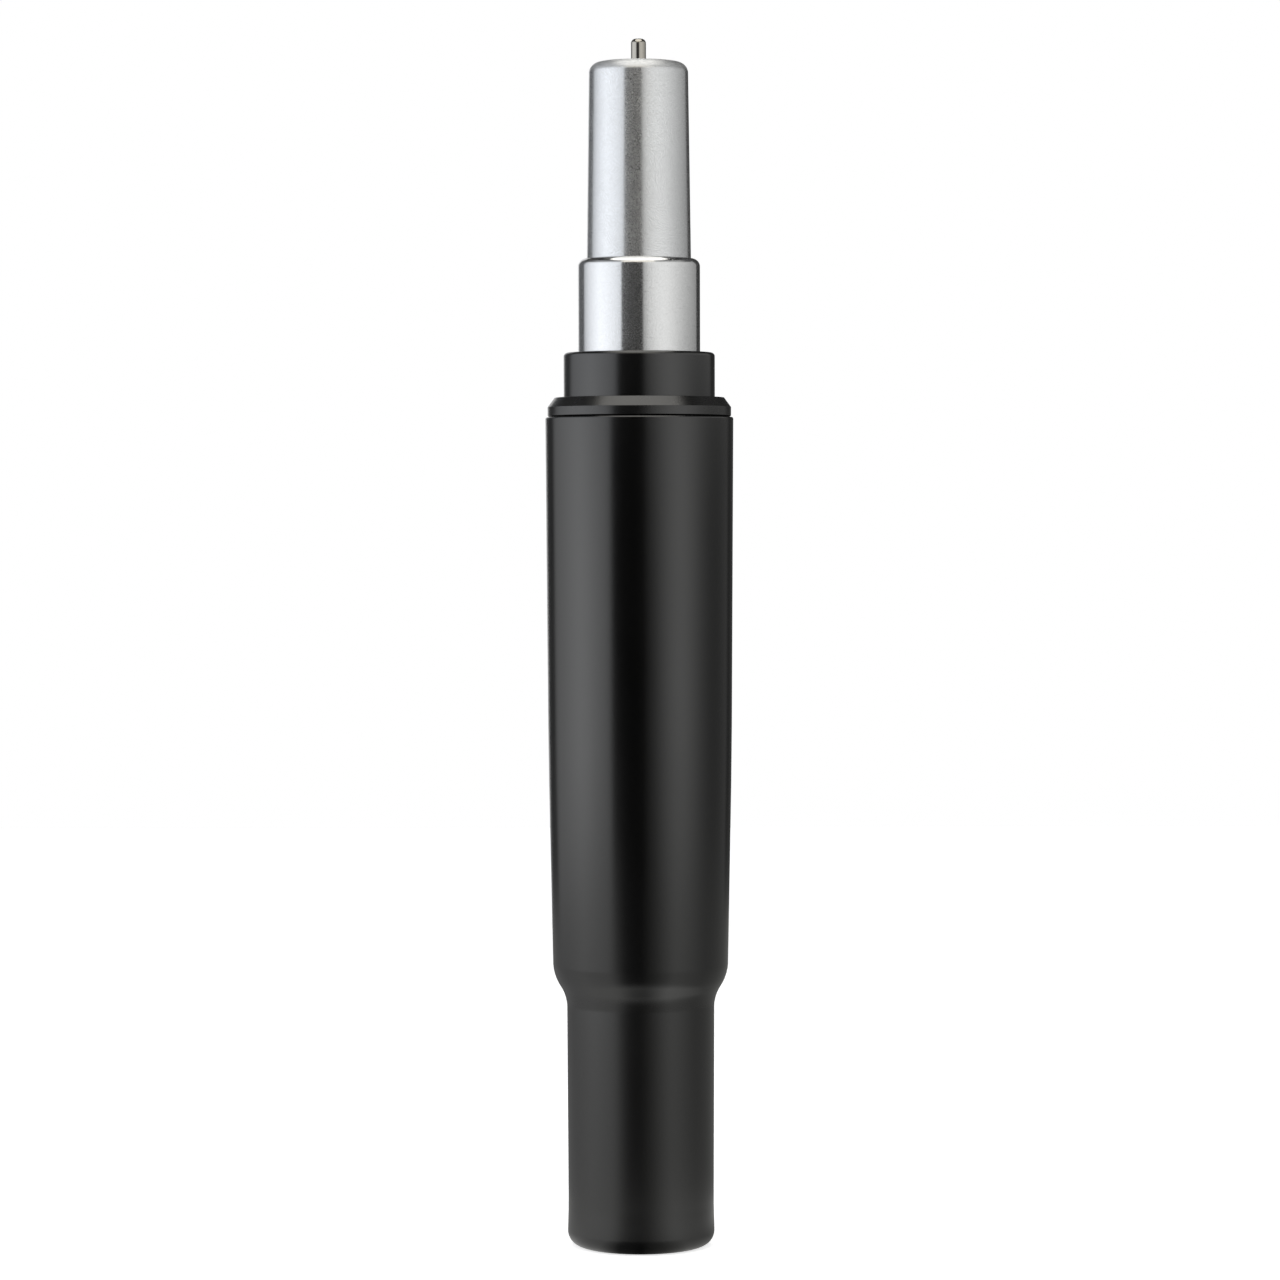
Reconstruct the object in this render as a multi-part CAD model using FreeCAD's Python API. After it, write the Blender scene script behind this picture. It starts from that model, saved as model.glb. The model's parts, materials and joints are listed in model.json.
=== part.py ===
import FreeCAD
import Part
import math
import os

# Telescopic chair column with a locking gas spring, shown fully lowered.
# Millimetres, +Z up, origin at the centre of the foot. Every piece is turned about the Z axis.

# Travels
height_travel = 140.0  # how far the seat rises
middle_share = 0.5  # the part of it that the middle tube makes
release_travel = 2.5  # how far the release pin goes in

# Room between pieces
fit = 0.05  # radial room of a running or a seated fit
play = 0.3  # room between pieces that pass without guiding each other
stop_gap = 0.5  # what is left between two stops at full travel
flank_angle = math.radians(22.5)  # rounded edges are made of straight flanks, each turning this much at most
long_taper = 3.0  # height from which a tapered flank counts as long

# Stand tube, outside, from the foot up
foot_radius = 19.7
foot_fillet = 4.0
foot_lip = 4.0  # width of the rolled-in edge past its fillet
waist_radius = 19.42
waist_height = 11.0
spigot_radius = 19.65
spigot_height = 66.6
shoulder_rise = 6.1
shoulder_top_fillet = 10.0
shoulder_foot_fillet = 9.0
base_cone_foot_radius = 23.3
base_cone_top_radius = 24.43
base_cone_length = 58.3
rim_radius = 25.0
rim_edge = 0.5
stand_wall = 2.2

# Stand bush, a moulded guide with the collar that shows above the rim
stand_bush_length = 52.55  # inside the stand tube
collar_radius = 24.4
collar_height = 5.2
collar_chamfer_width = 1.85
collar_chamfer_height = 2.55
collar_groove = 0.4  # height of the dark groove under the collar
collar_groove_depth = 0.5
bush_slots = 6
bush_slot_width = 2.4
bush_slot_length = 30.0

# Middle tube
middle_radius = 20.1
middle_wall = 1.9
middle_show = 17.1  # above the stand tube's rim
middle_edge = 1.0
middle_flange = 2.5  # thickness of the stop flange at its foot
middle_bush_length = 48.0
middle_bush_inset = 0.4

# Lift spring, which stands in the funnel of the shoulder
spring_radius = 18.3  # to the middle of the wire
spring_wire = 1.6
spring_turns = 5
spring_runs = 16  # straight runs in one turn
spring_sides = 6
spring_room = 25.0  # from the spring's foot to the middle tube

# Foot disc, thrust bearing, bumper and retaining clip
disc_thickness = 4.0
bearing_radius = 10.0
roller_radius = 1.0
roller_length = 4.0
roller_count = 6
cage_thickness = 1.4
washer_thickness = 1.2
bumper_height = 6.0
bumper_radius = 12.0
clip_thickness = 1.2
clip_radius = 6.6
clip_groove_depth = 0.8
clip_mouth = 5.0
rod_end = 0.6  # below the clip

# Piston rod and piston
rod_radius = 5.0
rod_neck_radius = 4.0
rod_tail_radius = 3.5
rod_tail_end = 1.0  # above the nut
piston_length = 10.0
piston_ring_height = 3.0
piston_ring_depth = 1.8
nut_height = 4.0
nut_across_flats = 11.0

# Gas spring cylinder, with the pieces stacked in its lower end
cylinder_radius = 16.2
cylinder_wall = 2.0
cylinder_lip = 2.1
cylinder_edge = 2.1
foot_lip_radius = 11.0  # inside radius of the cylinder's lower lip
seal_length = 6.0
guide_length = 22.0
guide_flange = 12.0  # the part of the guide that fills the cylinder
tube_outer_radius = 12.6
tube_wall = 1.2
gas_channels = 2  # notches in the guide and in the valve body, past each end of the inner tube
gas_channel_width = 2.0
gas_channel_depth = 1.5
dead_space = 19.05  # between the rod's end and the valve, pressed in

# Valve, cone head and release pin
poppet_height = 4.0
poppet_radius = 3.5
stem_radius = 1.5
stem_length = 22.0  # above the poppet
valve_length = 13.0
valve_spigot = 6.0
valve_seal_height = 3.0
plug_length = 18.0
cone_foot_radius = 13.85
cone_top_radius = 13.13
cone_length = 52.0  # above the cylinder
cone_fillet = 2.9
pin_radius = 2.0
pin_show = 6.25
pin_fillet = 1.2

# Heights that follow, from the foot up
disc_foot = stand_wall
disc_top = disc_foot + disc_thickness
roller_height = disc_top + fit + roller_radius
washer_foot = roller_height + roller_radius + fit
bumper_foot = washer_foot + washer_thickness
cylinder_foot = bumper_foot + bumper_height + play
seal_foot = cylinder_foot + cylinder_lip
guide_foot = seal_foot + seal_length
guide_step = guide_foot + guide_flange
guide_top = guide_foot + guide_length
piston_foot = guide_top + height_travel + stop_gap
nut_foot = piston_foot + piston_length
rod_top = nut_foot + nut_height + rod_tail_end
poppet_foot = rod_top + dead_space + release_travel
valve_foot = poppet_foot + poppet_height
valve_step = valve_foot + valve_spigot
valve_top = valve_foot + valve_length
plug_foot = valve_top + valve_seal_height
plug_top = plug_foot + plug_length
cylinder_top = plug_top + cylinder_lip
head_top = cylinder_top + cone_length
pin_tip = head_top + pin_show
stem_top = valve_foot + stem_length
clip_foot = disc_foot - fit - clip_thickness

middle_travel = height_travel * middle_share
shoulder_height = spigot_height + shoulder_rise
base_cone_top = shoulder_height + base_cone_length

# Radii that follow
cylinder_bore = cylinder_radius - cylinder_wall
tube_bore = tube_outer_radius - tube_wall
stand_bore = rim_radius - stand_wall
middle_bore = middle_radius - middle_wall
spigot_bore = waist_radius - stand_wall
clip_bore = rod_neck_radius - clip_groove_depth
roller_circle = (bearing_radius + rod_neck_radius + play) / 2
gas_reach = (tube_outer_radius + cylinder_bore) / 2  # the gas channels end between the two tubes

axis = FreeCAD.Vector(0, 0, 1)
centre = FreeCAD.Vector(0, 0, 0)


def point(radius, height):
    return FreeCAD.Vector(radius, 0, height)


def rounded_corner(before, corner, after, radius):
    """Points on the arc that rounds one corner."""
    to_before = (before - corner).normalize()
    to_after = (after - corner).normalize()
    half = to_before.getAngle(to_after) / 2
    arc_centre = corner + (to_before + to_after).normalize() * (radius / math.sin(half))
    start = corner + to_before * (radius / math.tan(half)) - arc_centre
    sweep = math.pi - 2 * half
    flanks = math.ceil(sweep / flank_angle - 0.01)
    points = []
    for i in range(flanks + 1):
        angle = sweep * i / flanks
        points.append(arc_centre + start * math.cos(angle) - to_before * radius * math.sin(angle))
    return points


def flank(start, end):
    """Straight edge; a long taper is a curve of two poles, which meshes lightly once it is turned."""
    if abs(end.z - start.z) > long_taper and abs(end.x - start.x) > 0:
        taper = Part.BezierCurve()
        taper.setPoles([start, end])
        return taper.toShape()
    return Part.LineSegment(start, end).toShape()


def outline(corners):
    """Closed wire through (radius, height) corners; a third number rounds that corner."""
    places = [point(corner[0], corner[1]) for corner in corners]
    points = []
    for i, corner in enumerate(corners):
        if len(corner) == 2:
            points.append(places[i])
            continue
        after = places[(i + 1) % len(places)]
        points += rounded_corner(places[i - 1], places[i], after, corner[2])
    return Part.Wire([flank(start, end) for start, end in zip(points, points[1:] + points[:1])])


def turned(corners):
    return Part.Face(outline(corners)).revolve(centre, axis, 360)


def ring(inner, outer, foot, top):
    return turned([(inner, foot), (outer, foot), (outer, top), (inner, top)])


def around(shape, count):
    """Copies of a shape, evenly spaced about the column's axis."""
    copies = []
    for i in range(count):
        copy = shape.copy()
        copy.rotate(centre, axis, 360.0 * i / count)
        copies.append(copy)
    return copies


def bar(length, width, height, start, foot):
    """Block along +X, centred on Y."""
    return Part.makeBox(length, width, height, FreeCAD.Vector(start, -width / 2, foot))


def shoulder_lift():
    """How much higher the shoulder's corners lie on the inside, for one thickness all along it."""
    slope = math.atan2(base_cone_foot_radius - spigot_radius, shoulder_rise)
    return stand_wall * math.tan(slope / 2)


def spring_foot():
    """Height at which the spring's wire rests on the slope inside the shoulder."""
    rise_per_radius = shoulder_rise / (base_cone_foot_radius - stand_wall - spigot_bore)
    reach = spring_wire / 2 * math.hypot(rise_per_radius, 1) / rise_per_radius + fit
    from_corner = spring_radius + reach - spigot_bore
    return spigot_height + shoulder_lift() + from_corner * rise_per_radius


middle_foot = spring_foot() + spring_room
stand_bush_foot = middle_foot + middle_flange + stop_gap + middle_travel
rim_height = stand_bush_foot + stand_bush_length
middle_top = rim_height + middle_show
middle_bush_top = middle_top - middle_bush_inset


def stand_inner_radius(height):
    """Inside radius of the stand tube along its base cone."""
    foot = shoulder_height + shoulder_lift()
    share = (height - foot) / (base_cone_top - foot)
    outside = base_cone_foot_radius + share * (base_cone_top_radius - base_cone_foot_radius)
    return outside - stand_wall


def stand_tube():
    lip = foot_radius - foot_fillet - foot_lip
    return turned([
        (lip, 0),
        (foot_radius, 0, foot_fillet),
        (waist_radius, waist_height),
        (spigot_radius, spigot_height, shoulder_foot_fillet),
        (base_cone_foot_radius, shoulder_height, shoulder_top_fillet),
        (base_cone_top_radius, base_cone_top),
        (rim_radius, rim_height - rim_edge),
        (rim_radius - rim_edge, rim_height),
        (stand_bore, rim_height),
        (stand_bore, stand_bush_foot - stop_gap),
        (base_cone_top_radius - stand_wall, base_cone_top),
        (base_cone_foot_radius - stand_wall, shoulder_height + shoulder_lift()),
        (spigot_bore, spigot_height + shoulder_lift()),
        (spigot_bore, disc_foot),
        (lip, disc_foot),
    ])


def stand_bush():
    outer = stand_bore - fit
    inner = middle_radius + fit
    collar_top = rim_height + collar_height
    bush = turned([
        (inner, stand_bush_foot),
        (outer, stand_bush_foot),
        (outer, rim_height),
        (collar_radius - collar_groove_depth, rim_height),
        (collar_radius, rim_height + collar_groove),
        (collar_radius, collar_top - collar_chamfer_height),
        (collar_radius - collar_chamfer_width, collar_top),
        (inner, collar_top),
    ])
    slot = bar(outer + play, bush_slot_width, bush_slot_length, 0, stand_bush_foot - play)
    return bush.cut(around(slot, bush_slots))


def middle_bush():
    foot = middle_bush_top - middle_bush_length
    return ring(cylinder_radius + fit, middle_bore - fit, foot, middle_bush_top)


def middle_tube():
    flange = stand_inner_radius(middle_foot) - play
    return turned([
        (middle_bore, middle_foot),
        (flange, middle_foot),
        (flange, middle_foot + middle_flange),
        (middle_radius, middle_foot + middle_flange),
        (middle_radius, middle_top, middle_edge),
        (middle_bore, middle_top),
    ])


def spring_height(turn):
    """Height of the wire's centre: the first and last turn lie closed, the others are open."""
    closed = spring_wire + fit
    first = spring_foot()
    last = middle_foot - spring_wire / 2 - fit
    open_pitch = (last - first - 2 * closed) / (spring_turns - 2)
    if turn <= 1:
        return first + closed * turn
    if turn >= spring_turns - 1:
        return last - closed * (spring_turns - turn)
    return first + closed + open_pitch * (turn - 1)


def lift_spring():
    sections = []
    for i in range(spring_turns * spring_runs + 1):
        height = spring_height(i / spring_runs)
        section = []
        for side in range(spring_sides):
            angle = 2 * math.pi * side / spring_sides
            section.append(point(spring_radius + spring_wire / 2 * math.cos(angle),
                                 height + spring_wire / 2 * math.sin(angle)))
        wire = Part.makePolygon(section + section[:1])
        wire.rotate(centre, axis, 360.0 * i / spring_runs)
        sections.append(wire)
    return Part.makeLoft(sections, True, True)


def foot_disc():
    return ring(rod_neck_radius + fit, spigot_bore - fit, disc_foot, disc_top)


def thrust_washer():
    return ring(rod_neck_radius + fit, bearing_radius, washer_foot, bumper_foot)


def rollers():
    roller = Part.makeCylinder(roller_radius, roller_length,
                               point(roller_circle - roller_length / 2, roller_height),
                               FreeCAD.Vector(1, 0, 0))
    return Part.makeCompound(around(roller, roller_count))


def roller_cage():
    half = cage_thickness / 2
    cage = ring(rod_neck_radius + play, bearing_radius, roller_height - half, roller_height + half)
    window = bar(roller_length + 2 * fit, 2 * (roller_radius + fit), 2 * cage_thickness,
                 roller_circle - roller_length / 2 - fit, roller_height - cage_thickness)
    return cage.cut(around(window, roller_count))


def bumper():
    return ring(rod_radius + fit, bumper_radius, bumper_foot, bumper_foot + bumper_height)


def retaining_clip():
    clip = ring(clip_bore + fit, clip_radius, clip_foot, clip_foot + clip_thickness)
    mouth = bar(clip_radius + play, clip_mouth, 3 * clip_thickness, 0, clip_foot - clip_thickness)
    return clip.cut(mouth)


def piston_rod():
    return turned([
        (0, clip_foot - rod_end),
        (rod_neck_radius, clip_foot - rod_end),
        (rod_neck_radius, clip_foot),
        (clip_bore, clip_foot),
        (clip_bore, clip_foot + clip_thickness),
        (rod_neck_radius, clip_foot + clip_thickness),
        (rod_neck_radius, bumper_foot),
        (rod_radius, bumper_foot),
        (rod_radius, piston_foot),
        (rod_tail_radius, piston_foot),
        (rod_tail_radius, rod_top),
        (0, rod_top),
    ])


def piston():
    outer = tube_bore - fit
    shoulder = nut_foot - piston_ring_height
    return turned([
        (rod_tail_radius + fit, piston_foot),
        (outer, piston_foot),
        (outer, shoulder),
        (outer - piston_ring_depth, shoulder),
        (outer - piston_ring_depth, nut_foot),
        (rod_tail_radius + fit, nut_foot),
    ])


def piston_ring():
    outer = tube_bore - fit
    return ring(outer - piston_ring_depth + fit, outer, nut_foot - piston_ring_height, nut_foot)


def piston_nut():
    corner = nut_across_flats / 2 / math.cos(math.pi / 6)
    angles = [math.pi * i / 3 for i in range(6)]
    corners = [FreeCAD.Vector(corner * math.cos(a), corner * math.sin(a), nut_foot) for a in angles]
    hexagon = Part.Face(Part.makePolygon(corners + corners[:1]))
    bore = Part.makeCylinder(rod_tail_radius + fit, nut_height, point(0, nut_foot))
    return hexagon.extrude(axis * nut_height).cut(bore)


def cylinder_tube():
    return turned([
        (foot_lip_radius, cylinder_foot),
        (cylinder_radius, cylinder_foot),
        (cylinder_radius, cylinder_top, cylinder_edge),
        (cone_foot_radius + fit, cylinder_top),
        (cone_foot_radius + fit, plug_top),
        (cylinder_bore, plug_top),
        (cylinder_bore, seal_foot),
        (foot_lip_radius, seal_foot),
    ])


def rod_seal():
    return ring(rod_radius + fit, cylinder_bore - fit, seal_foot, guide_foot)


def rod_guide():
    """The inner tube stands on its step; gas passes under the tube's end and up its own flutes."""
    guide = turned([
        (rod_radius + fit, guide_foot),
        (cylinder_bore - fit, guide_foot),
        (cylinder_bore - fit, guide_step),
        (tube_bore - fit, guide_step),
        (tube_bore - fit, guide_top),
        (rod_radius + fit, guide_top),
    ])
    start = tube_bore - gas_channel_depth
    flute = bar(gas_reach - start, gas_channel_width, guide_top - guide_step + 2 * gas_channel_depth,
                start, guide_step - gas_channel_depth)
    return guide.cut(around(flute, gas_channels))


def inner_tube():
    return ring(tube_bore, tube_outer_radius, guide_step, valve_step)


def valve_body():
    """Its bore opens through channels over the inner tube's end, to the space between the two tubes."""
    bore = stem_radius + play
    body = turned([
        (bore, valve_foot),
        (tube_bore - fit, valve_foot),
        (tube_bore - fit, valve_step),
        (cylinder_bore - fit, valve_step),
        (cylinder_bore - fit, valve_top),
        (bore, valve_top),
    ])
    channel = bar(gas_reach, gas_channel_width, gas_channel_depth, 0, valve_step)
    return body.cut(around(channel, gas_channels))


def valve_seal():
    return ring(stem_radius + fit, cylinder_bore - fit, valve_top, plug_foot)


def valve_stem():
    return turned([
        (0, poppet_foot - fit),
        (poppet_radius, poppet_foot - fit),
        (poppet_radius, valve_foot - fit),
        (stem_radius, valve_foot - fit),
        (stem_radius, stem_top),
        (0, stem_top),
    ])


def cone_head():
    outer = cylinder_bore - fit
    return turned([
        (pin_radius + fit, plug_foot),
        (outer, plug_foot),
        (outer, plug_top),
        (cone_foot_radius, plug_top),
        (cone_top_radius, head_top, cone_fillet),
        (pin_radius + fit, head_top),
    ])


def release_pin():
    return turned([
        (0, stem_top),
        (pin_radius, stem_top),
        (pin_radius, pin_tip, pin_fillet),
        (0, pin_tip),
    ])


pieces = [
    stand_tube, stand_bush, foot_disc, lift_spring,
    rollers, roller_cage,
    piston_rod, thrust_washer, bumper, retaining_clip, piston, piston_ring, piston_nut,
    middle_tube, middle_bush,
    cylinder_tube, cone_head, inner_tube, valve_body, valve_seal, rod_guide, rod_seal,
    release_pin, valve_stem,
]

os.makedirs("parts", exist_ok=True)
for piece in pieces:
    shape = piece()
    name = piece.__name__
    shape.exportStep("parts/" + name + ".step")
    print(name, len(shape.Solids), shape.isValid(), round(shape.Volume, 1))
print("rim", round(rim_height, 2), "middle", round(middle_top, 2), "cylinder", round(cylinder_top, 2),
      "head", round(head_top, 2), "pin", round(pin_tip, 2))
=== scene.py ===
import json
import math

import bmesh
import bpy
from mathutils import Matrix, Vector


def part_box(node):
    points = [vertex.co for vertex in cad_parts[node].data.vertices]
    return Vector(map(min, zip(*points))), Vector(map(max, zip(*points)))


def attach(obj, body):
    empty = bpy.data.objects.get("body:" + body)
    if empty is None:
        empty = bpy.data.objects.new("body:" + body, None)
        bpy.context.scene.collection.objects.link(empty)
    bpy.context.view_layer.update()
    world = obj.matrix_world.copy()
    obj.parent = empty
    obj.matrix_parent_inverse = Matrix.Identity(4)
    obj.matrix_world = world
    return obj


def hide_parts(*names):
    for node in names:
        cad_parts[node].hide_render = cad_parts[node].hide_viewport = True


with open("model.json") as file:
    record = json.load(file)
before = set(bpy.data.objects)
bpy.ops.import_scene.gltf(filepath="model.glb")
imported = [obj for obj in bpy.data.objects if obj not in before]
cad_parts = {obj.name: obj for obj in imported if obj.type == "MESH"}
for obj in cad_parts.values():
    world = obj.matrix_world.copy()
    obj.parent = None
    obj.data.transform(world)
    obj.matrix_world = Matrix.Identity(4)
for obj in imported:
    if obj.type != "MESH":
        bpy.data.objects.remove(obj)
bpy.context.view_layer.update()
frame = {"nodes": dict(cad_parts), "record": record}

# Telescopic chair column: black stand tube and neck, silver cylinder, cone head and release pin.
# Metres throughout. Most ends and widest radii come from the frame, other sizes from the
# dictionary beside each piece.

near = 0.00001  # a vertex this close to a place counts as being there
usualSteps = 144  # flats round a turned piece
roundingStep = 7  # degrees that each flat of a rounding turns
sharpFrom = 28  # degrees; edges sharper than this stay sharp
cutMargin = 0.001  # how far a cutter goes past what it cuts


def selectOnly(piece):
    bpy.ops.object.select_all(action="DESELECT")
    piece.select_set(True)
    bpy.context.view_layer.objects.active = piece


def selectVertices(wanted):
    mesh = bmesh.from_edit_mesh(bpy.context.object.data)
    bpy.ops.mesh.select_all(action="DESELECT")
    for vertex in mesh.verts:
        if wanted(vertex.co):
            vertex.select_set(True)
    bmesh.update_edit_mesh(bpy.context.object.data)


def startVertex(name, place):
    # A mesh of one vertex, left in edit mode.
    bpy.ops.object.select_all(action="DESELECT")
    bpy.ops.mesh.primitive_plane_add(size=1)
    piece = bpy.context.object
    piece.name = name
    bpy.ops.object.mode_set(mode="EDIT")
    bpy.ops.mesh.merge(type="CENTER")
    bpy.ops.transform.translate(value=place)
    return piece


def extrudeBy(step):
    bpy.ops.mesh.extrude_region_move(TRANSFORM_OT_translate={"value": step})


def spinRound(steps, angle):
    bpy.ops.mesh.select_all(action="SELECT")
    bpy.ops.mesh.spin(steps=steps, angle=angle, center=(0, 0, 0), axis=(0, 0, 1))


def closeMesh():
    # Joins what meets, turns all faces outwards and leaves edit mode.
    bpy.ops.mesh.select_all(action="SELECT")
    bpy.ops.mesh.remove_doubles(threshold=near / 10)
    bpy.ops.mesh.normals_make_consistent(inside=False)
    bpy.ops.object.mode_set(mode="OBJECT")


def cutAround(piece, name, length, width, low, high, count=1):
    # Cuts square slots from the axis outwards, the first along X.
    for i in range(count):
        angle = 2 * math.pi * i / count
        out = (math.cos(angle) * length / 2, math.sin(angle) * length / 2, (low + high) / 2)
        bpy.ops.object.select_all(action="DESELECT")
        bpy.ops.mesh.primitive_cube_add(size=1, location=out, rotation=(0, 0, angle),
                                        scale=(length, width, high - low))
        cutter = bpy.context.object
        selectOnly(piece)
        slot = piece.modifiers.new(name, "BOOLEAN")
        slot.operation = "DIFFERENCE"
        slot.solver = "EXACT"
        slot.object = cutter
        bpy.ops.object.modifier_apply(modifier=slot.name)
        selectOnly(cutter)
        bpy.ops.object.delete()


def cornerOffset(before, corner, after):
    # How far from the corner a rounding starts, and how far it turns, from its radius.
    toBefore = math.atan2(before[1] - corner[1], before[0] - corner[0])
    toAfter = math.atan2(after[1] - corner[1], after[0] - corner[0])
    between = abs(toBefore - toAfter)
    between = min(between, 2 * math.pi - between)
    return corner[2] / math.tan(between / 2), math.pi - between


def turnPiece(name, corners, steps=usualSteps):
    # Draws the half section as (radius, height) points, rounds those with a third number, spins it.
    piece = startVertex(name, (corners[0][0], 0, corners[0][1]))
    for before, after in zip(corners, corners[1:]):
        extrudeBy((after[0] - before[0], 0, after[1] - before[1]))
    ends = (corners[0][:2], corners[-1][:2])
    selectVertices(lambda place: any(math.hypot(place.x - r, place.z - z) < near
                                     for r, z in ends))
    bpy.ops.mesh.edge_face_add()
    for i, corner in enumerate(corners):
        if len(corner) < 3:
            continue
        offset, turn = cornerOffset(corners[i - 1], corner, corners[(i + 1) % len(corners)])
        selectVertices(lambda place: math.hypot(place.x - corner[0], place.z - corner[1]) < near)
        bpy.ops.mesh.bevel(offset_type="OFFSET", offset=offset, profile=0.5, affect="VERTICES",
                           segments=max(2, round(turn / math.radians(roundingStep))))
    spinRound(steps, 2 * math.pi)
    closeMesh()
    return piece


def finishPiece(piece, body, node, slotName):
    selectOnly(piece)
    bpy.ops.object.shade_smooth_by_angle(angle=math.radians(sharpFrom))
    weighted = piece.modifiers.new("weighted", "WEIGHTED_NORMAL")
    weighted.keep_sharp = True
    bpy.ops.object.modifier_apply(modifier=weighted.name)
    piece.data.materials.clear()
    piece.data.materials.append(slotMaterials[slotName])
    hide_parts(node)
    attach(piece, body)


def foot(node):
    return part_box(node)[0].z


def top(node):
    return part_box(node)[1].z


def reach(node):
    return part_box(node)[1].x


# Materials. Every one has its own grain, and reads Object coordinates.

noiseLow, noiseHigh = 0.3, 0.7  # most values of a noise lie between these
speckCore = 0.6  # the part of a speck's radius that is full
coatIor = 1.7  # of paint and mouldings, for the strength of their shine in the photo


def newMaterial(name, colour, metallic, roughness):
    material = bpy.data.materials.new(name)
    material.use_nodes = True
    shader = material.node_tree.nodes["Principled BSDF"]
    shader.inputs["Base Color"].default_value = (*colour, 1)
    shader.inputs["Metallic"].default_value = metallic
    shader.inputs["Roughness"].default_value = roughness
    return material, material.node_tree, shader


def objectPlaces(tree, scale=(1, 1, 1), lean=0):
    # Object coordinates, scaled, and turned about Y by an angle in degrees.
    coordinates = tree.nodes.new("ShaderNodeTexCoord")
    mapping = tree.nodes.new("ShaderNodeMapping")
    mapping.inputs["Rotation"].default_value = (0, math.radians(lean), 0)
    mapping.inputs["Scale"].default_value = scale
    tree.links.new(coordinates.outputs["Object"], mapping.inputs["Vector"])
    return mapping.outputs["Vector"]


def noise(tree, scale, detail, lean=0):
    texture = tree.nodes.new("ShaderNodeTexNoise")
    texture.inputs["Scale"].default_value = 1
    texture.inputs["Detail"].default_value = detail
    tree.links.new(objectPlaces(tree, scale, lean), texture.inputs["Vector"])
    return texture.outputs["Fac"]


def spread(tree, value, low, high, fromLow=noiseLow, fromHigh=noiseHigh):
    ranged = tree.nodes.new("ShaderNodeMapRange")
    ranged.inputs["From Min"].default_value = fromLow
    ranged.inputs["From Max"].default_value = fromHigh
    ranged.inputs["To Min"].default_value = low
    ranged.inputs["To Max"].default_value = high
    tree.links.new(value, ranged.inputs["Value"])
    return ranged.outputs["Result"]


def bump(tree, shader, height, strength, distance, under=None):
    node = tree.nodes.new("ShaderNodeBump")
    node.inputs["Strength"].default_value = strength
    node.inputs["Distance"].default_value = distance
    tree.links.new(height, node.inputs["Height"])
    if under is not None:
        tree.links.new(under, node.inputs["Normal"])
    tree.links.new(node.outputs["Normal"], shader.inputs["Normal"])
    return node.outputs["Normal"]


def tint(tree, shader, value, dark, light):
    mix = tree.nodes.new("ShaderNodeMix")
    mix.data_type = "RGBA"
    mix.inputs["A"].default_value = (*dark, 1)
    mix.inputs["B"].default_value = (*light, 1)
    tree.links.new(value, mix.inputs["Factor"])
    tree.links.new(mix.outputs["Result"], shader.inputs["Base Color"])


def together(tree, first, second, operation="MAXIMUM"):
    node = tree.nodes.new("ShaderNodeMath")
    node.operation = operation
    tree.links.new(first, node.inputs[0])
    tree.links.new(second, node.inputs[1])
    return node.outputs[0]


def specks(tree, apart, radius, share):
    # Tiny round marks: the size of the cells that hold one each, their radius, and how many show.
    cells = tree.nodes.new("ShaderNodeTexVoronoi")
    cells.inputs["Scale"].default_value = 1 / apart
    tree.links.new(objectPlaces(tree), cells.inputs["Vector"])
    inside = spread(tree, cells.outputs["Distance"], 1, 0,
                    speckCore * radius / apart, radius / apart)
    chosen = tree.nodes.new("ShaderNodeMath")
    chosen.operation = "LESS_THAN"
    chosen.inputs[1].default_value = share
    tree.links.new(cells.outputs["Color"], chosen.inputs[0])
    return together(tree, inside, chosen.outputs[0], "MULTIPLY")


def duller(tree, roughness, low, high, atLow, atHigh):
    # Adds atLow to the roughness below the height low and atHigh above high, blended between them.
    height = tree.nodes.new("ShaderNodeSeparateXYZ")
    tree.links.new(objectPlaces(tree), height.inputs[0])
    added = spread(tree, height.outputs["Z"], atLow, atHigh, low, high)
    return together(tree, roughness, added, "ADD")


blackPaint = {
    "colour": (0.001, 0.001, 0.001),
    "roughness": 0.21,
    "uneven": 0.02,  # how far the roughness goes up and down
    "patchScale": (60, 60, 25),
    "dullRoughness": 0.29,  # of the lower end
    "dullBelow": 0.064,
    "glossyAbove": 0.074,
    "dustColour": (0.16, 0.15, 0.14),
    "dustApart": 0.0015,
    "dustRadius": 0.0002,
    "dustShare": 0.02,
    "peelScale": (900, 900, 900),
    "peelStrength": 0.25,
    "peelDepth": 0.00002,
}


def paint(name, look):
    # Satin powder paint: orange peel, a little uneven in gloss, duller at its lower end, with dust.
    gloss = look["roughness"]
    material, tree, shader = newMaterial(name, look["colour"], 0, gloss)
    shader.inputs["IOR"].default_value = coatIor
    patches = noise(tree, look["patchScale"], detail=4)
    roughness = spread(tree, patches, gloss - look["uneven"], gloss + look["uneven"])
    dust = specks(tree, look["dustApart"], look["dustRadius"], look["dustShare"])
    tint(tree, shader, dust, look["colour"], look["dustColour"])
    roughness = duller(tree, roughness, look["dullBelow"], look["glossyAbove"],
                       look["dullRoughness"] - gloss, 0)
    tree.links.new(roughness, shader.inputs["Roughness"])
    peel = noise(tree, look["peelScale"], detail=2)
    bump(tree, shader, peel, look["peelStrength"], look["peelDepth"])
    return material


anyMoulding = {
    "uneven": 0.05,
    "patchScale": (90, 90, 90),
    "cloudScale": (40, 40, 40),
    "paler": 1.25,  # how much lighter the clouds are
    "grainStrength": 0.3,
    "grainDepth": 0.00003,
}


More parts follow.
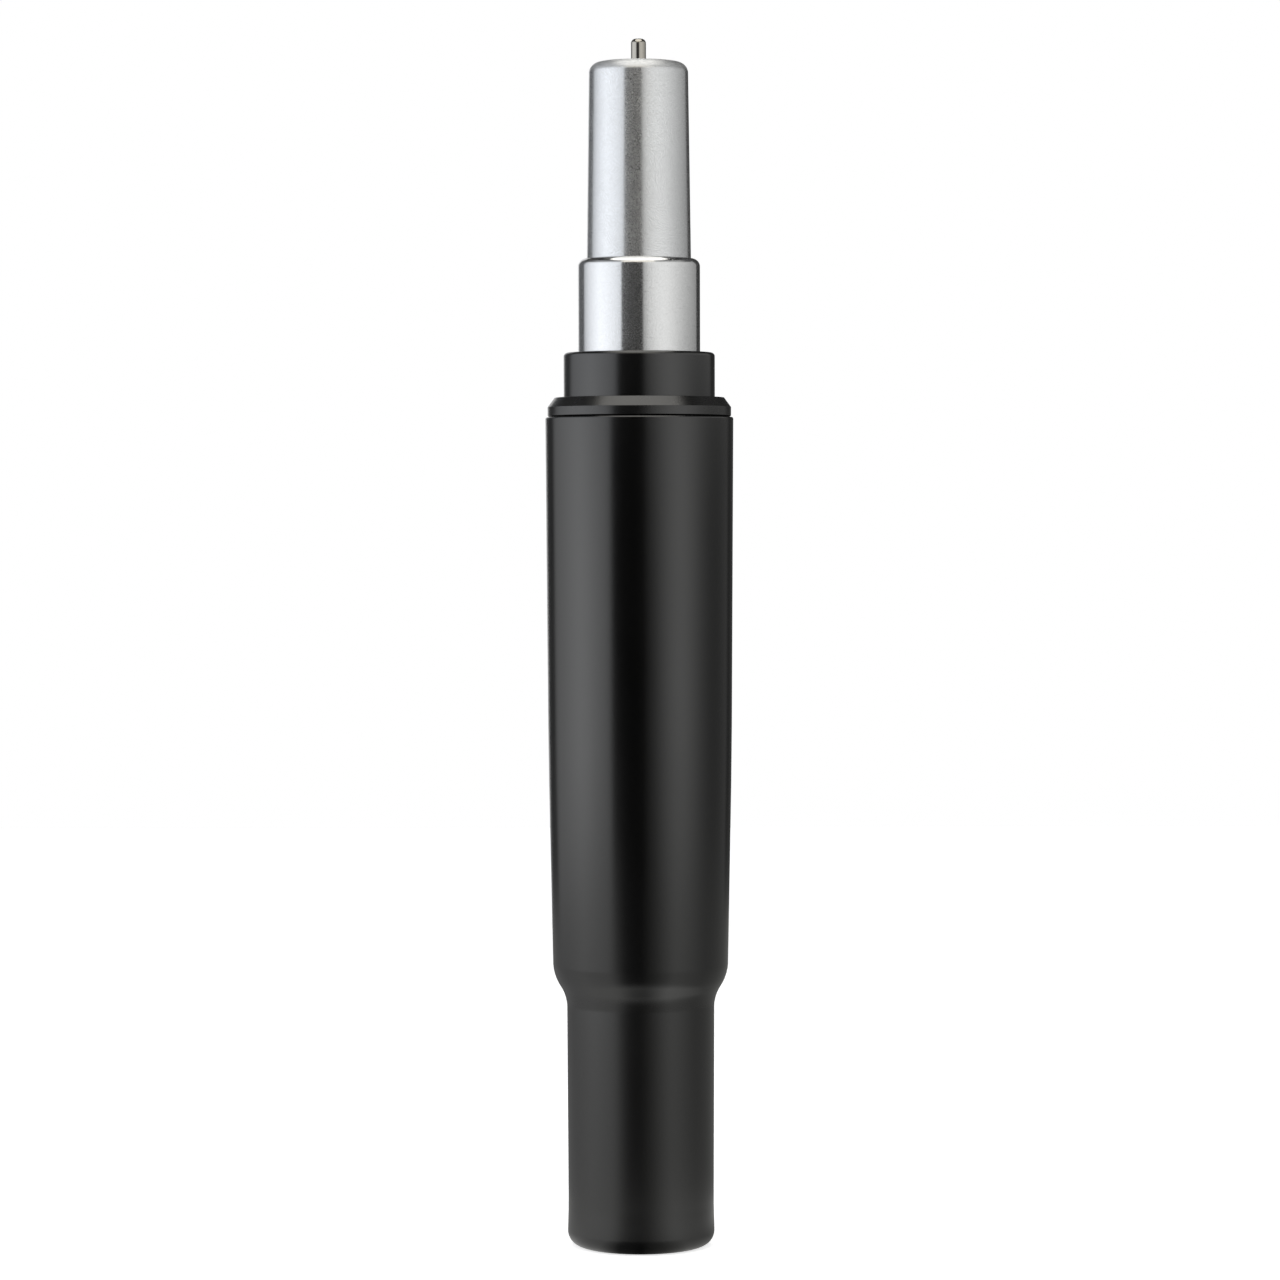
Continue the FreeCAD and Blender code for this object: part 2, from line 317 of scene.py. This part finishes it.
def moulding(name, colour, gloss, grain=1500):
    look = anyMoulding
    material, tree, shader = newMaterial(name, colour, 0, gloss)
    shader.inputs["IOR"].default_value = coatIor
    patches = noise(tree, look["patchScale"], detail=4)
    roughness = spread(tree, patches, gloss - look["uneven"], gloss + look["uneven"])
    tree.links.new(roughness, shader.inputs["Roughness"])
    clouds = noise(tree, look["cloudScale"], detail=5)
    tint(tree, shader, clouds, colour, tuple(look["paler"] * part for part in colour))
    fine = noise(tree, (grain, grain, grain), detail=3)
    bump(tree, shader, fine, look["grainStrength"], look["grainDepth"])
    return material


anySteel = {
    "grindingTurn": 0.25,  # of the uneven shine, so that it runs across the ground lines
    "cloudScale": (70, 70, 90),
    "cloudLow": 0.85,  # the least and most that clouds of wear make of the roughness
    "cloudHigh": 1.15,
    "gritScale": (9000, 9000, 9000),
    "gritFrom": 0.48,
    "gritTo": 0.6,
    "mottleScale": (2300, 2300, 2300),
    "mottleShare": 0.22,  # of the speckle
    "pitsApart": 0.0012,
    "pitRadius": 0.0002,
    "pitShare": 0.15,
    "pitRoughness": 0.5,
    "shadeScale": (1700, 1700, 1700),
    "shade": 0.94,  # how dark the darker grains are
    "lineLength": 60,
    "lineDepth": 0.00002,
    "scratchLean": 35,
    "scratchScale": (350, 350, 4500),
    "scratchFrom": 0.7,  # the higher, the fewer scratches
    "scratchSoft": 0.05,
    "scratchStrength": 0.25,
    "scratchDepth": 0.00002,
}


def groundSteel(name, colour, gloss, anisotropy, lines, strength, speckle=0, dullTop=None):
    # Steel ground while it turns: fine lines round the piece, clouds of wear, specks and scratches.
    # A duller top is the height where it starts, the height where it's full, and how much it adds.
    look = anySteel
    material, tree, shader = newMaterial(name, colour, 1, gloss)
    shader.inputs["Anisotropic"].default_value = anisotropy
    shader.inputs["Anisotropic Rotation"].default_value = look["grindingTurn"]
    tangent = tree.nodes.new("ShaderNodeTangent")
    tangent.direction_type = "RADIAL"
    tangent.axis = "Z"
    tree.links.new(tangent.outputs["Tangent"], shader.inputs["Tangent"])
    clouds = noise(tree, look["cloudScale"], detail=5)
    roughness = spread(tree, clouds, gloss * look["cloudLow"], gloss * look["cloudHigh"])
    grit = noise(tree, look["gritScale"], detail=1)
    grit = spread(tree, grit, 0, speckle, look["gritFrom"], look["gritTo"])
    roughness = together(tree, roughness, grit, "ADD")
    mottle = noise(tree, look["mottleScale"], detail=3)
    mottle = spread(tree, mottle, 0, look["mottleShare"] * speckle)
    roughness = together(tree, roughness, mottle, "ADD")
    pits = specks(tree, look["pitsApart"], look["pitRadius"], look["pitShare"])
    roughness = together(tree, roughness, spread(tree, pits, 0, look["pitRoughness"], 0, 1))
    if dullTop:
        starts, full, added = dullTop
        roughness = duller(tree, roughness, starts, full, 0, added)
    tree.links.new(roughness, shader.inputs["Roughness"])
    shades = spread(tree, noise(tree, look["shadeScale"], detail=3), 0, 1)
    tint(tree, shader, shades, tuple(look["shade"] * part for part in colour), colour)
    grinding = noise(tree, (look["lineLength"], look["lineLength"], lines), detail=4)
    lined = bump(tree, shader, grinding, strength, look["lineDepth"])
    scratches = noise(tree, look["scratchScale"], detail=1, lean=look["scratchLean"])
    scratches = spread(tree, scratches, 0, 1, look["scratchFrom"],
                       look["scratchFrom"] + look["scratchSoft"])
    bump(tree, shader, scratches, look["scratchStrength"], -look["scratchDepth"], lined)
    return material


headTop = top("cone_head")
headEdge = {"starts": 0.0028, "full": 0.0014, "added": 0.26}  # below the top, and the roughness

slotMaterials = {
    "black_paint": paint("blackPaint", blackPaint),
    "black_moulding": moulding("blackMoulding", (0.0018, 0.0018, 0.0018), gloss=0.26),
    "white_moulding": moulding("whiteMoulding", (0.72, 0.71, 0.66), gloss=0.42),
    "black_rubber": moulding("blackRubber", (0.018, 0.018, 0.018), gloss=0.6, grain=2500),
    "polished_steel": groundSteel("polishedSteel", (0.69, 0.695, 0.7), gloss=0.05,
                                  anisotropy=0.4, lines=4000, strength=0.08, speckle=0.24),
    "satin_steel": groundSteel("satinSteel", (0.69, 0.7, 0.71), gloss=0.15,
                               anisotropy=0.5, lines=3000, strength=0.3, speckle=0.33,
                               dullTop=(headTop - headEdge["starts"],
                                        headTop - headEdge["full"], headEdge["added"])),
    "pin_steel": groundSteel("pinSteel", (0.4, 0.38, 0.34), gloss=0.06,
                             anisotropy=0.3, lines=3000, strength=0.1),
    "bare_steel": groundSteel("bareSteel", (0.42, 0.42, 0.43), gloss=0.35,
                              anisotropy=0.4, lines=2500, strength=0.3),
    "spring_steel": moulding("springSteel", (0.2, 0.2, 0.21), gloss=0.35, grain=1200),
    "bronze": groundSteel("bronze", (0.55, 0.36, 0.16), gloss=0.35,
                          anisotropy=0.4, lines=2500, strength=0.3),
}
print("materials:", len(bpy.data.materials))

for row in frame["record"]["subparts"]:
    node = frame["nodes"][row["node"]]
    node.data.materials.clear()
    node.data.materials.append(slotMaterials[row["material_slot"]])
print("carried-over nodes:", len(frame["nodes"]))


# Stand tube. The bends are long roundings.

standTube = {
    "footRadius": 0.0197,
    "footRounding": 0.004,
    "mouthRadius": 0.0117,  # of the rolled-in foot
    "mouthEdge": 0.0006,
    "waistRadius": 0.01942,
    "waistHeight": 0.011,
    "waistBend": 0.08,
    "spigotRadius": 0.01965,
    "spigotHeight": 0.0666,
    "spigotBend": 0.009,
    "shoulderRadius": 0.0233,
    "shoulderHeight": 0.0727,
    "shoulderBend": 0.010,
    "coneTopRadius": 0.02443,
    "coneTopHeight": 0.131,
    "coneTopBend": 1.2,
    "rimEdge": 0.0005,
    "boreEdge": 0.0003,
    "wall": 0.0022,
    "boreRise": 0.03,  # from the cone's top to where the bore has its full width
    "shoulderRise": 0.001,  # of the shoulder inside over the one outside
}


def makeStandTube(tube):
    rim = top("stand_tube")
    radius = reach("stand_tube")
    wall = tube["wall"]
    rise = tube["shoulderRise"]
    piece = turnPiece("standTube", [
        (tube["mouthRadius"], 0, tube["mouthEdge"]),
        (tube["footRadius"], 0, tube["footRounding"]),
        (tube["waistRadius"], tube["waistHeight"], tube["waistBend"]),
        (tube["spigotRadius"], tube["spigotHeight"], tube["spigotBend"]),
        (tube["shoulderRadius"], tube["shoulderHeight"], tube["shoulderBend"]),
        (tube["coneTopRadius"], tube["coneTopHeight"], tube["coneTopBend"]),
        (radius, rim, tube["rimEdge"]),
        (radius - wall, rim, tube["boreEdge"]),
        (radius - wall, tube["coneTopHeight"] + tube["boreRise"]),
        (tube["coneTopRadius"] - wall, tube["coneTopHeight"]),
        (tube["shoulderRadius"] - wall, tube["shoulderHeight"] + rise),
        (tube["spigotRadius"] - wall, tube["spigotHeight"] + rise),
        (tube["waistRadius"] - wall, wall),
        (tube["mouthRadius"], wall, tube["mouthEdge"]),
    ])
    finishPiece(piece, "stand", "stand_tube", "black_paint")


makeStandTube(standTube)
print("stand tube done")


# Stand bush and its collar

standBush = {
    "outerRadius": 0.02275,
    "innerRadius": 0.02015,
    "collarHeight": 0.0052,
    "chamferWidth": 0.00185,
    "chamferHeight": 0.00255,
    "grooveHeight": 0.0004,
    "grooveDepth": 0.0005,
    "edge": 0.00015,
    "boreFootEdge": 0.0004,
    "outerFootEdge": 0.0006,
    "boreTopEdge": 0.0003,
    "slots": 6,  # let the lower part of the bush spring a little
    "slotWidth": 0.0024,
    "slotLength": 0.0297,
}


def makeStandBush(bush):
    base = foot("stand_bush")
    collarTop = top("stand_bush")
    rim = collarTop - bush["collarHeight"]
    radius = reach("stand_bush")
    piece = turnPiece("standBush", [
        (bush["innerRadius"], base, bush["boreFootEdge"]),
        (bush["outerRadius"], base, bush["outerFootEdge"]),
        (bush["outerRadius"], rim),
        (radius - bush["grooveDepth"], rim),
        (radius, rim + bush["grooveHeight"], bush["edge"]),
        (radius, collarTop - bush["chamferHeight"], bush["edge"]),
        (radius - bush["chamferWidth"], collarTop, bush["edge"]),
        (bush["innerRadius"], collarTop, bush["boreTopEdge"]),
    ])
    cutAround(piece, "slot", bush["outerRadius"] + cutMargin, bush["slotWidth"],
              base - cutMargin, base + bush["slotLength"], bush["slots"])
    finishPiece(piece, "stand", "stand_bush", "black_moulding")


makeStandBush(standBush)
print("stand bush done")


# Middle tube, the neck above the collar, and its bush

middleTube = {
    "radius": 0.0201,
    "bore": 0.0182,
    "flange": 0.0025,
    "flangeEdge": 0.0004,
    "topEdge": 0.001,
    "boreEdge": 0.0003,
}
middleBush = {"innerRadius": 0.01625, "outerRadius": 0.01815, "edge": 0.0004}


def makeMiddleTube(tube):
    base = foot("middle_tube")
    flangeRadius = reach("middle_tube")
    piece = turnPiece("middleTube", [
        (tube["bore"], base, tube["boreEdge"]),
        (flangeRadius, base, tube["flangeEdge"]),
        (flangeRadius, base + tube["flange"], tube["flangeEdge"]),
        (tube["radius"], base + tube["flange"]),
        (tube["radius"], top("middle_tube"), tube["topEdge"]),
        (tube["bore"], top("middle_tube"), tube["boreEdge"]),
    ])
    finishPiece(piece, "middle", "middle_tube", "black_paint")


def makeRing(name, low, high, inner, outer, edge, steps=usualSteps):
    return turnPiece(name, [(inner, low, edge), (outer, low, edge),
                            (outer, high, edge), (inner, high, edge)], steps)


def makeMiddleBush(bush):
    piece = makeRing("middleBush", foot("middle_bush"), top("middle_bush"),
                     bush["innerRadius"], bush["outerRadius"], bush["edge"])
    finishPiece(piece, "middle", "middle_bush", "black_moulding")


makeMiddleTube(middleTube)
makeMiddleBush(middleBush)
print("middle tube and its bush done")


# Cylinder, the pressure tube of the gas spring

cylinderTube = {
    "wall": 0.002,
    "lip": 0.0021,
    "footRounding": 0.0012,
    "shoulderRounding": 0.0021,
    "headHole": 0.0139,
    "headHoleEdge": 0.00015,
    "footHole": 0.011,
    "footHoleEdge": 0.0004,
    "steps": 192,
}


def makeCylinder(tube):
    base = foot("cylinder_tube")
    shoulder = top("cylinder_tube")
    radius = reach("cylinder_tube")
    piece = turnPiece("cylinderTube", [
        (tube["footHole"], base, tube["footHoleEdge"]),
        (radius, base, tube["footRounding"]),
        (radius, shoulder, tube["shoulderRounding"]),
        (tube["headHole"], shoulder, tube["headHoleEdge"]),
        (tube["headHole"], shoulder - tube["lip"]),
        (radius - tube["wall"], shoulder - tube["lip"]),
        (radius - tube["wall"], base + tube["lip"]),
        (tube["footHole"], base + tube["lip"], tube["footHoleEdge"]),
    ], tube["steps"])
    finishPiece(piece, "cylinder", "cylinder_tube", "polished_steel")


makeCylinder(cylinderTube)
print("cylinder done")


# Cone head

coneHead = {
    "footRadius": 0.01385,
    "topRadius": 0.01313,
    "rounding": 0.0029,
    "bore": 0.00205,
    "boreEdge": 0.0003,
    "steps": 192,
}


def makeConeHead(head):
    plugRadius = reach("cone_head")
    plugTop = top("cylinder_tube") - cylinderTube["lip"]
    piece = turnPiece("coneHead", [
        (head["bore"], foot("cone_head")),
        (plugRadius, foot("cone_head")),
        (plugRadius, plugTop),
        (head["footRadius"], plugTop),
        (head["topRadius"], headTop, head["rounding"]),
        (head["bore"], headTop, head["boreEdge"]),
    ], head["steps"])
    finishPiece(piece, "cylinder", "cone_head", "satin_steel")


makeConeHead(coneHead)
print("cone head done")


# Release pin

releasePin = {"rounding": 0.0012, "steps": 96}


def makeReleasePin(pin):
    radius = reach("release_pin")
    piece = turnPiece("releasePin", [
        (0, foot("release_pin")),
        (radius, foot("release_pin")),
        (radius, top("release_pin"), pin["rounding"]),
        (0, top("release_pin")),
    ], pin["steps"])
    finishPiece(piece, "release", "release_pin", "pin_steel")


makeReleasePin(releasePin)
print("release pin done")


# Underside and rod: the disc that closes the foot, the piston rod and the clip that holds it

footDisc = {"bore": 0.00405, "edge": 0.0004}
pistonRod = {
    "radius": 0.005,
    "neckRadius": 0.004,
    "tailRadius": 0.0035,
    "clipGroove": 0.0008,
    "edge": 0.0004,
    "steps": 96,
}
retainingClip = {
    "radius": 0.0066,
    "mouth": 0.005,
    "clearance": 0.00005,
    "edge": 0.0002,
    "steps": 96,
}


def makeFootDisc(disc):
    piece = makeRing("footDisc", foot("foot_disc"), top("foot_disc"),
                     disc["bore"], reach("foot_disc"), disc["edge"])
    finishPiece(piece, "stand", "foot_disc", "bare_steel")


def makeRod(rod):
    clipLow, clipHigh = foot("retaining_clip"), top("retaining_clip")
    seat, pistonFoot = foot("bumper"), foot("piston")
    groove = rod["neckRadius"] - rod["clipGroove"]
    piece = turnPiece("pistonRod", [
        (0, foot("piston_rod")),
        (rod["neckRadius"], foot("piston_rod"), rod["edge"] / 2),
        (rod["neckRadius"], clipLow),
        (groove, clipLow),
        (groove, clipHigh),
        (rod["neckRadius"], clipHigh),
        (rod["neckRadius"], seat),
        (rod["radius"], seat, rod["edge"]),
        (rod["radius"], pistonFoot, rod["edge"]),
        (rod["tailRadius"], pistonFoot),
        (rod["tailRadius"], top("piston_rod"), rod["edge"]),
        (0, top("piston_rod")),
    ], rod["steps"])
    finishPiece(piece, "rod", "piston_rod", "polished_steel")


def makeClip(clip):
    low, high = foot("retaining_clip"), top("retaining_clip")
    bore = pistonRod["neckRadius"] - pistonRod["clipGroove"] + clip["clearance"]
    piece = makeRing("retainingClip", low, high, bore, clip["radius"], clip["edge"],
                     clip["steps"])
    cutAround(piece, "mouth", clip["radius"] + cutMargin, clip["mouth"],
              low - cutMargin, high + cutMargin)
    finishPiece(piece, "rod", "retaining_clip", "spring_steel")


makeFootDisc(footDisc)
makeRod(pistonRod)
makeClip(retainingClip)
print("underside done")


# Lift spring, round wire with its first and last turn lying closed

liftSpring = {
    "wireRadius": 0.0008,
    "wireRoundness": 3,
    "radius": 0.0183,  # to the middle of the wire
    "turns": 5,
    "closedPitch": 0.00165,
    "stepsPerTurn": 40,
}


def makeSpring(spring):
    radius, turns, closed = spring["radius"], spring["turns"], spring["closedPitch"]
    low = foot("lift_spring") + spring["wireRadius"]
    high = top("lift_spring") - spring["wireRadius"]
    openPitch = (high - low - 2 * closed) / (turns - 2)
    place = (radius, 0, low)
    piece = startVertex("liftSpring", place)
    for i in range(1, turns * spring["stepsPerTurn"] + 1):
        turn = i / spring["stepsPerTurn"]
        angle = 2 * math.pi * turn
        rise = min(turn, 1) * closed + max(0, turn - turns + 1) * closed
        rise += min(max(turn - 1, 0), turns - 2) * openPitch
        after = (radius * math.cos(angle), radius * math.sin(angle), low + rise)
        extrudeBy([new - old for new, old in zip(after, place)])
        place = after
    bpy.ops.object.mode_set(mode="OBJECT")
    bpy.ops.object.convert(target="CURVE")
    piece.data.bevel_depth = spring["wireRadius"]
    piece.data.bevel_resolution = spring["wireRoundness"]
    piece.data.use_fill_caps = True
    bpy.ops.object.convert(target="MESH")
    bpy.ops.object.mode_set(mode="EDIT")
    closeMesh()
    finishPiece(piece, "stand", "lift_spring", "spring_steel")


makeSpring(liftSpring)
print("lift spring done")


# Studio

studio = {
    "floorSize": 3.0,
    "floorColour": (0.8, 0.8, 0.8),
    "floorRoughness": 0.9,
    "floorGlow": 0.7,  # what makes the floor white to the camera
    "sheenHeight": 0.0002,  # of the disc just over the floor that the column mirrors
    "roomLevel": 0.45,  # plain light from all round
    "roomColour": (0.95, 0.97, 1.0),
    "ringDistance": 0.9,
    "ringHeight": 0.68,
    "ringSplit": 0.26,  # the black parts mirror what is below this, the silver ones what is above
    "ringOpening": 7,  # degrees each side of straight behind, where the white backdrop shows
    "hoodOpening": 1,
    "hoodHeight": 1.7,
    "roofLevel": 0.03,
    "nearFrom": 0.058,  # where the floor's light near the column starts and ends
    "nearTo": 0.1,
    "nearSoft": 0.7,  # the part of those distances from which they fade in and out
    "bandHeight": 1.1,  # top of the paler band above the ring
    "topHeight": 1.15,
    "topRadius": 0.62,
    "topOffset": -0.25,
    "topLevel": 1.95,
    "topColour": (1.0, 0.98, 0.93),
    "steps": 96,  # flats round the ring and the discs
}

# Light by direction: degrees round from the camera, negative on its left, and the level there.
lowRingLevels = [  # what the black parts mirror
    (-165, 0.12), (-132, 0.05), (-127, 0.58), (-110, 0.93), (-95, 1.36), (-80, 1.77),
    (-68, 1.75), (-50, 1.35), (-36, 0.99), (-34, 0), (6, 0), (9, 0.1), (18, 0.27), (28, 0.62),
    (37, 0.9), (48, 1.1), (57, 1.04), (70, 0.72), (81, 0.44), (94, 0.24), (108, 0.18),
    (136, 0.2), (140, 0.04), (165, 0.1),
]
ringLevels = [  # what the silver parts mirror
    (-165, 0.18), (-128.5, 0.1), (-124.5, 0.66), (-110, 1.03), (-95, 1.27), (-80, 1.45),
    (-65, 1.37), (-50, 1.26), (-34, 1.1), (-32, 0.1), (-12, 0.08), (6, 0.03), (9, 0.62),
    (18, 0.95), (28, 1.06), (37, 1.1), (47, 1.1), (57, 1.05), (70, 0.96), (81, 0.86),
    (94, 0.74), (108, 0.61), (126, 0.45), (136.5, 0.38), (139.5, 0.03), (165, 0.06),
]
floorLevels = [
    (-165, 0.2), (-120, 0.4), (-80, 0.72), (-40, 0.68), (-20, 0.09), (0, 0.03), (20, 0.2),
    (45, 0.58), (90, 0.3), (130, 0.27), (165, 0.25),
]
nearFloorLevels = [
    (-165, 0.35), (-120, 0.48), (-80, 0.74), (-40, 0.86), (-10, 0.42), (10, 0.36), (45, 1.1),
    (90, 0.66), (130, 0.6), (165, 0.6),
]
bandLight = [  # this one has its colours written out
    (-165, 0.05, 0.05, 0.05),
    (-122, 0.1, 0.1, 0.1),
    (-90, 0.5, 0.51, 0.53),
    (-37, 0.5, 0.51, 0.53),
    (-33, 1.26, 1.19, 1.05),
    (29, 1.26, 1.19, 1.05),
    (34, 0.5, 0.5, 0.49),
    (90, 0.5, 0.5, 0.49),
    (122, 0.1, 0.1, 0.1),
    (165, 0.05, 0.05, 0.05),
]
leftEnds, rightStarts = -33, 7  # degrees; the front lies between
neutral = (1, 1, 1)
warmer = (1, 1, 0.985)
warmFloor = (1, 1, 0.97)


def toned(levels, left, front, right, places):
    # Gives each level the colour of its side, rounded to a number of places.
    stops = []
    for degrees, level in levels:
        tone = left if degrees < leftEnds else right if degrees > rightStarts else front
        stops.append((degrees, *(round(level * part, places) for part in tone)))
    return stops


lowRingLight = toned(lowRingLevels, (0.99, 1, 1.01), neutral, warmer, 3)
ringLight = toned(ringLevels, (0.97, 1, 1.05), neutral, warmer, 3)
floorLight = toned(floorLevels, (1, 1, 0.99), neutral, warmFloor, 2)
nearFloorLight = toned(nearFloorLevels, warmFloor, warmFloor, warmFloor, 2)


def whiteRays(tree, *names):
    # One for the rays that see plain white, none for the others.
    path = tree.nodes.new("ShaderNodeLightPath")
    seen = path.outputs[names[0]]
    for name in names[1:]:
        seen = together(tree, seen, path.outputs[name])
    return seen


def makeWorld(room):
    world = bpy.data.worlds.new("studioWorld")
    bpy.context.scene.world = world
    world.use_nodes = True
    tree = world.node_tree
    plain = tree.nodes["Background"]
    plain.inputs["Color"].default_value = (*room["roomColour"], 1)
    plain.inputs["Strength"].default_value = room["roomLevel"]
    white = tree.nodes.new("ShaderNodeBackground")
    white.inputs["Color"].default_value = (1, 1, 1, 1)
    mix = tree.nodes.new("ShaderNodeMixShader")
    seen = whiteRays(tree, "Is Camera Ray", "Is Glossy Ray", "Is Transmission Ray")
    tree.links.new(seen, mix.inputs["Fac"])
    tree.links.new(plain.outputs[0], mix.inputs[1])
    tree.links.new(white.outputs[0], mix.inputs[2])
    tree.links.new(mix.outputs[0], tree.nodes["World Output"].inputs["Surface"])


def makeFloor(room):
    bpy.ops.object.select_all(action="DESELECT")
    bpy.ops.mesh.primitive_plane_add(size=room["floorSize"])
    floor = bpy.context.object
    floor.name = "floor"
    material, tree, shader = newMaterial("paleFloor", room["floorColour"], 0,
                                         room["floorRoughness"])
    glow = tree.nodes.new("ShaderNodeMath")
    glow.operation = "MULTIPLY"
    glow.inputs[1].default_value = room["floorGlow"]
    tree.links.new(whiteRays(tree, "Is Camera Ray"), glow.inputs[0])
    shader.inputs["Emission Color"].default_value = (1, 1, 1, 1)
    tree.links.new(glow.outputs[0], shader.inputs["Emission Strength"])
    floor.data.materials.append(material)


def lightMaterial(name, level, colour=(1, 1, 1)):
    material = bpy.data.materials.new(name)
    material.use_nodes = True
    tree = material.node_tree
    tree.nodes.clear()
    light = tree.nodes.new("ShaderNodeEmission")
    light.inputs["Color"].default_value = (*colour, 1)
    light.inputs["Strength"].default_value = level
    output = tree.nodes.new("ShaderNodeOutputMaterial")
    tree.links.new(light.outputs[0], output.inputs["Surface"])
    return material, tree, light


def aroundRamp(tree, stops, brightest):
    # Colours for the directions round the column, counted from the camera.
    fromCamera = tree.nodes.new("ShaderNodeMapping")
    fromCamera.inputs["Rotation"].default_value = (0, 0, math.pi / 2)
    tree.links.new(objectPlaces(tree), fromCamera.inputs["Vector"])
    around = tree.nodes.new("ShaderNodeTexGradient")
    around.gradient_type = "RADIAL"
    tree.links.new(fromCamera.outputs["Vector"], around.inputs["Vector"])
    ramp = tree.nodes.new("ShaderNodeValToRGB")
    for stop in stops[1:-1]:
        ramp.color_ramp.elements.new(stop[0] / 360 + 0.5)
    for element, stop in zip(ramp.color_ramp.elements, stops):
        element.position = stop[0] / 360 + 0.5
        element.color = (stop[1] / brightest, stop[2] / brightest, stop[3] / brightest, 1)
    tree.links.new(around.outputs["Fac"], ramp.inputs["Fac"])
    return ramp.outputs["Color"]


def blended(tree, share, first, second):
    mix = tree.nodes.new("ShaderNodeMix")
    mix.data_type = "RGBA"
    tree.links.new(share, mix.inputs["Factor"])
    tree.links.new(first, mix.inputs["A"])
    tree.links.new(second, mix.inputs["B"])
    return mix.outputs["Result"]


def roundLight(name, stops, nearStops=()):
    # A light that changes as one goes round the column, and close to it too if asked.
    brightest = max(max(stop[1:]) for stop in [*stops, *nearStops])
    material, tree, light = lightMaterial(name, brightest)
    colour = aroundRamp(tree, stops, brightest)
    if nearStops:
        length = tree.nodes.new("ShaderNodeVectorMath")
        length.operation = "LENGTH"
        tree.links.new(objectPlaces(tree), length.inputs[0])
        outward = length.outputs["Value"]
        starts, ends, soft = studio["nearFrom"], studio["nearTo"], studio["nearSoft"]
        beyondFoot = spread(tree, outward, 0, 1, starts * soft, starts)
        closeBy = spread(tree, outward, 1, 0, ends * soft, ends)
        share = together(tree, beyondFoot, closeBy, "MULTIPLY")
        colour = blended(tree, share, colour, aroundRamp(tree, nearStops, brightest))
    tree.links.new(colour, light.inputs["Color"])
    return material


def hang(piece, name, material, lightsUp=True):
    # Stage gear that the camera doesn't see and that casts no shadow.
    piece.name = name
    piece.data.materials.append(material)
    piece.visible_camera = False
    piece.visible_shadow = False
    piece.visible_diffuse = lightsUp


def makeArc(low, high, opening):
    # Upright wall round the column, open straight behind it.
    start = math.radians(opening)
    distance = studio["ringDistance"]
    across, back = -math.sin(start) * distance, math.cos(start) * distance
    wall = startVertex("wall", (across, back, low))
    extrudeBy((0, 0, high - low))
    spinRound(studio["steps"], 2 * (math.pi - start))
    bpy.ops.object.mode_set(mode="OBJECT")
    return wall


def makeDisc(radius, height, back=0):
    bpy.ops.object.select_all(action="DESELECT")
    bpy.ops.mesh.primitive_circle_add(vertices=studio["steps"], radius=radius, fill_type="NGON")
    disc = bpy.context.object
    selectOnly(disc)
    disc.location = (0, back, height)
    bpy.ops.object.transform_apply(location=True)
    return disc


def makeStudio(room):
    hang(makeArc(0, room["ringSplit"], room["ringOpening"]), "lowRing",
         roundLight("lowRing", lowRingLight))
    hang(makeArc(room["ringSplit"], room["ringHeight"], room["ringOpening"]), "ringLight",
         roundLight("ringLight", ringLight))
    hang(makeArc(room["ringHeight"], room["bandHeight"], room["hoodOpening"]), "band",
         roundLight("band", bandLight), False)
    hang(makeArc(room["bandHeight"], room["hoodHeight"], room["hoodOpening"]), "hood",
         lightMaterial("hood", room["roofLevel"])[0], False)
    hang(makeDisc(room["ringDistance"], room["hoodHeight"]), "roof",
         lightMaterial("roof", room["roofLevel"])[0], False)
    hang(makeDisc(room["topRadius"], room["topHeight"], room["topOffset"]), "topLight",
         lightMaterial("topLight", room["topLevel"], room["topColour"])[0])
    hang(makeDisc(room["ringDistance"], room["sheenHeight"]), "floorSheen",
         roundLight("floorSheen", floorLight, nearFloorLight), False)


makeWorld(studio)
makeFloor(studio)
makeStudio(studio)
print("studio done")


# Camera, a little below the collar and a little over a metre away

camera = {
    "lens": 121.46,
    "sensor": 36,
    "distance": 1.150,
    "height": 0.197,
    "aimHeight": 0.16175,
    "aside": 0.00012,  # how far the camera stands to the right
    "roll": 0.138,
}


def makeCamera(view):
    data = bpy.data.cameras.new("camera")
    data.lens = view["lens"]
    data.sensor_width = view["sensor"]
    eye = bpy.data.objects.new("camera", data)
    bpy.context.scene.collection.objects.link(eye)
    eye.location = (view["aside"], -view["distance"], view["height"])
    drop = math.atan2(view["height"] - view["aimHeight"], view["distance"])
    eye.rotation_euler = (math.pi / 2 - drop, math.radians(view["roll"]), 0)
    bpy.context.scene.camera = eye


makeCamera(camera)
bpy.context.scene.view_settings.view_transform = "Standard"
print("camera done")
